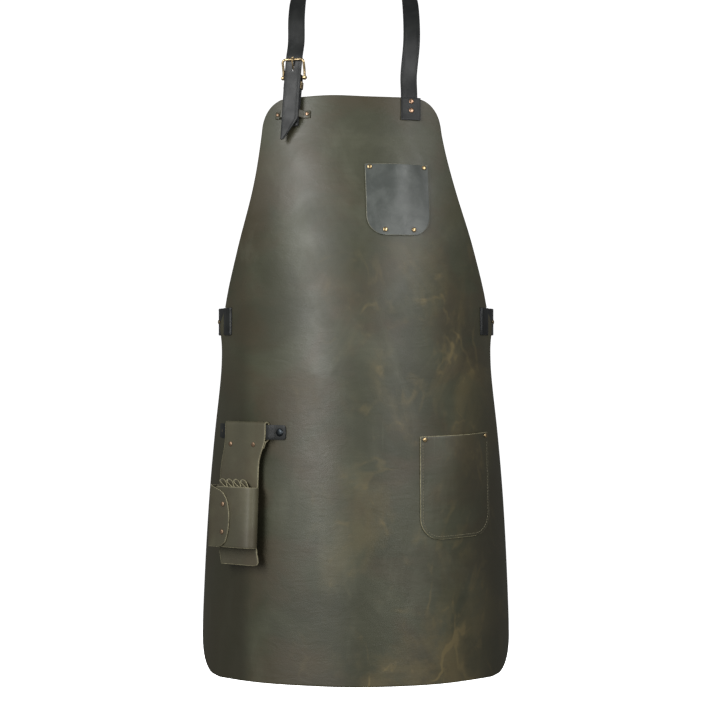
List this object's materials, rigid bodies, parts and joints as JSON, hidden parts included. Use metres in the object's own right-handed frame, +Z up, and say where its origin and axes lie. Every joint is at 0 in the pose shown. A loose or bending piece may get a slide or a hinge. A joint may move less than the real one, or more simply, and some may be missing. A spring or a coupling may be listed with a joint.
{
  "type": "welding apron",
  "caption": "Full-length leather welding apron with a buckled neck strap, a waist strap through side slits, a chest pocket, a thigh pocket and a hanging tool holster",
  "frame": {"origin": "middle of the neck strap's inner face, where it rests behind the wearer's neck", "axes": "+Z up, -Y the way the wearer faces, +X towards the wearer's left side"},
  "size_m": [0.4579, 0.2754, 1.0508],
  "materials": {
    "olive_leather": "waxed pull-up leather, satin",
    "black_leather": "smooth waxed, semi-gloss",
    "brass": "aged brass",
    "antique_brass": "antique brass",
    "copper": "aged copper plate",
    "dark_metal": "blackened steel"
  },
  "bodies": {
    "apron": {"apron_panel": "olive_leather", "bib_loop": "olive_leather", "lower_pocket": "olive_leather", "neck_strap": "black_leather", "neck_strap_patch": "black_leather", "neck_chape": "black_leather", "chest_pocket": "black_leather", "holster_hanger_strap": "black_leather", "waist_strap_left": "black_leather", "waist_strap_right": "black_leather", "neck_buckle_frame": "antique_brass", "neck_buckle_pin": "antique_brass", "waist_buckle_frame": "antique_brass", "waist_buckle_pin": "antique_brass", "bib_loop_rivet_left": "antique_brass", "bib_loop_rivet_right": "antique_brass", "hanger_strap_rivet": "antique_brass", "waist_chape_rivet": "antique_brass", "waist_loop_rivet_left": "antique_brass", "waist_loop_rivet_right": "antique_brass", "neck_chape_rivet": "brass", "chest_pocket_rivet_top_left": "brass", "chest_pocket_rivet_top_right": "brass", "chest_pocket_rivet_bottom_left": "brass", "chest_pocket_rivet_bottom_right": "brass", "lower_pocket_rivet_top_left": "brass", "lower_pocket_rivet_top_right": "brass", "patch_rivet_upper": "copper", "patch_rivet_lower": "copper", "hanger_snap": "dark_metal"},
    "holster": {"holster_body": "olive_leather", "holster_tool_divider": "olive_leather", "holster_rivet_left": "brass", "holster_rivet_right": "brass", "flap_rivet_upper": "brass", "flap_rivet_lower": "brass"},
    "neck_prong": {"neck_buckle_prong": "antique_brass"},
    "neck_keeper_band": {"neck_keeper": "antique_brass"},
    "waist_prong": {"waist_buckle_prong": "antique_brass"},
    "waist_keeper_band": {"waist_keeper": "black_leather"}
  },
  "joints": [
    {"name": "holster_swing", "type": "hinge", "parent": "apron", "child": "holster", "pos_m": [-0.15818, -0.18379, -0.66309], "axis": [-0.7766, 0.6299, 0.0015], "range_deg": [0, 8]},
    {"name": "neck_prong_turn", "type": "hinge", "parent": "apron", "child": "neck_prong", "pos_m": [-0.09049, -0.17146, -0.15822], "axis": [0.928, -0.3724, -0.0102], "range_deg": [0, 5]},
    {"name": "neck_keeper_slide", "type": "slide", "parent": "apron", "child": "neck_keeper_band", "axis": [-0.0872, -0.1904, -0.9778], "range_m": [0, 0.009]},
    {"name": "waist_prong_turn", "type": "hinge", "parent": "apron", "child": "waist_prong", "pos_m": [0.014, 0.0253, -0.5125], "axis": [0, 0, -1], "range_deg": [0, 5]},
    {"name": "waist_keeper_slide", "type": "slide", "parent": "apron", "child": "waist_keeper_band", "axis": [1, 0, 0], "range_m": [-0.004, 0.014]}
  ]
}
